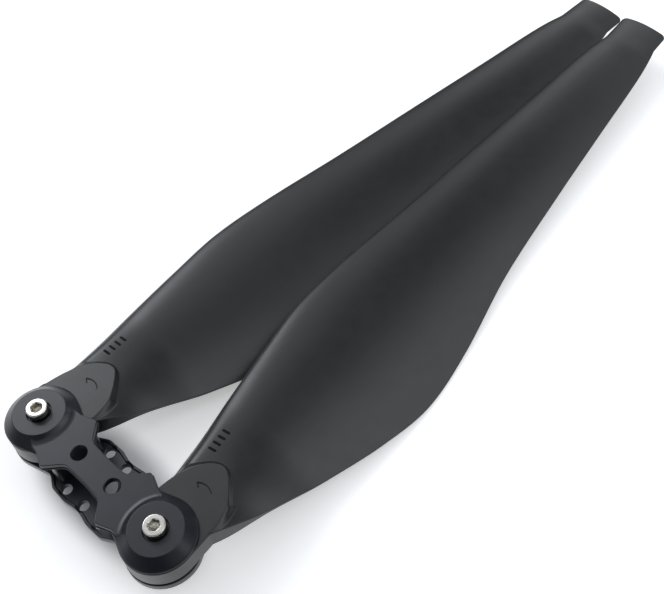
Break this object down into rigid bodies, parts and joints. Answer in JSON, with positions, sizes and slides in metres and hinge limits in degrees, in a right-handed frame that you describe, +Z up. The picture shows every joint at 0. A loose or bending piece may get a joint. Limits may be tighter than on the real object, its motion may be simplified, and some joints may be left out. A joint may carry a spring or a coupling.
{
  "type": "folding drone propeller",
  "caption": "Folding two-blade propeller for a heavy-lift drone: a machined clamp hub whose twisted blades pivot on bolts and fold side by side.",
  "frame": {"origin": "centre of the hub on the face that bolts to the motor", "axes": "+Z up along the rotor axis, +X from the hub's centre to the right-hand blade pivot, +Y along the folded blades"},
  "size_m": [0.1334, 0.436, 0.0357],
  "materials": {
    "anodised_aluminium": "fine bead-blasted, black anodised, satin",
    "blade_composite": "moulded fibre-filled composite, matt black",
    "stainless_steel": "bright turned stainless steel",
    "bronze": "turned bearing bronze",
    "dark_nylon": "graphite-filled nylon",
    "white_nylon": "natural nylon"
  },
  "bodies": {
    "hub": {"lower_clamp_plate": "anodised_aluminium", "upper_clamp_plate": "anodised_aluminium", "plate_screws": "stainless_steel", "locating_pins": "stainless_steel", "pivot_bolt_left": "stainless_steel", "pivot_sleeve_left": "stainless_steel", "upper_thrust_washer_left": "dark_nylon", "lower_thrust_washer_left": "dark_nylon", "lock_nut_left": "stainless_steel", "nut_insert_left": "white_nylon", "pivot_bolt_right": "stainless_steel", "pivot_sleeve_right": "stainless_steel", "upper_thrust_washer_right": "dark_nylon", "lower_thrust_washer_right": "dark_nylon", "lock_nut_right": "stainless_steel", "nut_insert_right": "white_nylon"},
    "blade_left": {"blade_left": "blade_composite", "root_bush_left": "bronze"},
    "blade_right": {"blade_right": "blade_composite", "root_bush_right": "bronze"}
  },
  "joints": [
    {"name": "blade_left_fold", "type": "hinge", "parent": "hub", "child": "blade_left", "pos_m": [-0.036, 0, 0.0094], "axis": [0, 0, 1], "range_deg": [0, 185.7]},
    {"name": "blade_right_fold", "type": "hinge", "parent": "hub", "child": "blade_right", "pos_m": [0.036, 0, 0.0094], "axis": [0, 0, 1], "range_deg": [-185.7, 0]}
  ]
}
